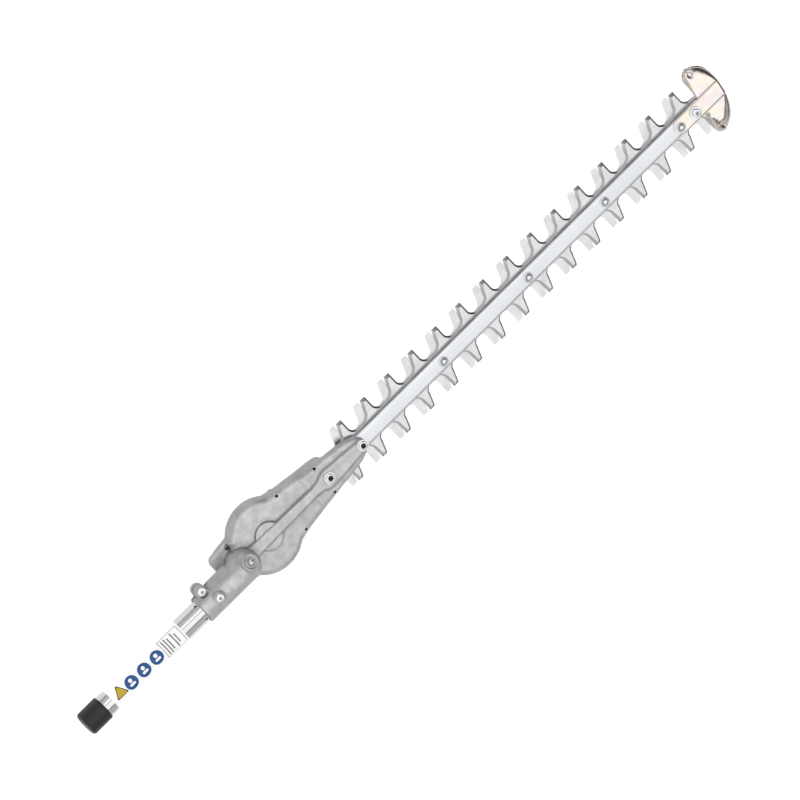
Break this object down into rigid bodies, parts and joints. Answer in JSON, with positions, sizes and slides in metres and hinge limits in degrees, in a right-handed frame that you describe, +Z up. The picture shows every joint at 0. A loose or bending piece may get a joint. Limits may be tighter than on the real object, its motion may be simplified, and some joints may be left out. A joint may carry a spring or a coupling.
{
  "type": "hedge trimmer attachment",
  "caption": "Double-sided reciprocating hedge cutting head on a short drive tube, with a cast gearcase, guide bar and tip guard.",
  "frame": {"origin": "on the flat underside of the gearcase cover, below the crank axis", "axes": "+X along the guide bar to its tip, +Z up from the cover to the guide bar's side, +Y to the left"},
  "size_m": [0.9469, 0.083, 0.0649],
  "materials": {
    "cast_aluminium": "sand cast, blasted",
    "drawn_aluminium": "drawn, satin",
    "bar_aluminium": "anodised, satin",
    "blade_steel": "ground",
    "plated_guard_steel": "yellow zinc plated, glossy",
    "zinc_plated_steel": "bright zinc plated",
    "gear_steel": "hardened, oiled",
    "bearing_steel": "ground",
    "bush_bronze": "sintered",
    "black_plastic": "semi-gloss vinyl",
    "label_film": "printed film",
    "gasket_fibre": "pressed fibre",
    "seal_felt": "felt"
  },
  "bodies": {
    "gearcase": {"bar_bolt_1": "zinc_plated_steel", "bar_bolt_2": "zinc_plated_steel", "bar_bolt_3": "zinc_plated_steel", "bar_bolt_4": "zinc_plated_steel", "bar_nut_1": "zinc_plated_steel", "bar_nut_2": "zinc_plated_steel", "bar_nut_3": "zinc_plated_steel", "bar_nut_4": "zinc_plated_steel", "case_screw_1": "zinc_plated_steel", "case_screw_2": "zinc_plated_steel", "case_screw_3": "zinc_plated_steel", "case_screw_4": "zinc_plated_steel", "case_screw_5": "zinc_plated_steel", "case_screw_6": "zinc_plated_steel", "clamp_screw": "zinc_plated_steel", "cover_gasket": "gasket_fibre", "crank_bearing_lower_outer_race": "bearing_steel", "crank_bearing_upper_outer_race": "bearing_steel", "drive_tube": "drawn_aluminium", "felt_seal": "seal_felt", "gearcase_cover": "cast_aluminium", "gearcase_main": "cast_aluminium", "grease_nipple": "zinc_plated_steel", "guide_bar": "bar_aluminium", "locating_screw": "zinc_plated_steel", "nose_bolt_front": "zinc_plated_steel", "nose_bolt_rear": "zinc_plated_steel", "nose_nut_front": "zinc_plated_steel", "nose_nut_rear": "zinc_plated_steel", "shaft_bearing_front_outer_race": "bearing_steel", "shaft_bearing_rear_outer_race": "bearing_steel", "shaft_bush_front": "bush_bronze", "shaft_bush_rear": "bush_bronze", "spindle_bearing_lower_outer_race": "bearing_steel", "spindle_bearing_upper_outer_race": "bearing_steel", "tip_bolt": "zinc_plated_steel", "tip_guard": "plated_guard_steel", "tip_washer": "zinc_plated_steel", "tube_label": "label_film"},
    "upper_cutter": {"upper_blade": "blade_steel"},
    "lower_cutter": {"lower_blade": "blade_steel"},
    "crank": {"crank_gear": "gear_steel", "crank_spindle": "gear_steel", "upper_cam": "gear_steel", "lower_cam": "gear_steel", "crank_bearing_upper_inner_race": "bearing_steel", "crank_bearing_lower_inner_race": "bearing_steel"},
    "pinion_shaft": {"pinion_spindle": "gear_steel", "spur_pinion": "gear_steel", "bevel_gear": "gear_steel", "spindle_bearing_upper_inner_race": "bearing_steel", "spindle_bearing_lower_inner_race": "bearing_steel"},
    "input_shaft": {"drive_shaft": "gear_steel", "bevel_pinion": "gear_steel", "shaft_bearing_front_inner_race": "bearing_steel", "shaft_bearing_rear_inner_race": "bearing_steel", "shaft_circlip": "gear_steel"},
    "cap": {"end_cap": "black_plastic"}
  },
  "joints": [
    {"name": "upper_blade_slide", "type": "slide", "parent": "gearcase", "child": "upper_cutter", "axis": [1, 0, 0], "range_m": [-0.0125, 0.0035]},
    {"name": "lower_blade_slide", "type": "slide", "parent": "gearcase", "child": "lower_cutter", "axis": [1, 0, 0], "range_m": [-0.0035, 0.0125]},
    {"name": "crank_spin", "type": "hinge", "parent": "gearcase", "child": "crank", "pos_m": [0, 0, 0.013], "axis": [0, 0, 1], "continuous": true},
    {"name": "pinion_shaft_spin", "type": "hinge", "parent": "gearcase", "child": "pinion_shaft", "pos_m": [-0.0405, 0, 0.013], "axis": [0, 0, 1], "continuous": true},
    {"name": "input_shaft_spin", "type": "hinge", "parent": "gearcase", "child": "input_shaft", "pos_m": [-0.15, 0, 0.042], "axis": [1, 0, 0], "continuous": true},
    {"name": "cap_pull_off", "type": "slide", "parent": "gearcase", "child": "cap", "axis": [-1, 0, 0], "range_m": [0, 0.045]}
  ],
  "couplings": [
    {"joint": "lower_blade_slide", "follows": "upper_blade_slide", "ratio": -1},
    {"joint": "crank_spin", "follows": "upper_blade_slide", "rad_per_m": 145},
    {"joint": "pinion_shaft_spin", "follows": "upper_blade_slide", "rad_per_m": -638},
    {"joint": "input_shaft_spin", "follows": "upper_blade_slide", "rad_per_m": 638}
  ]
}
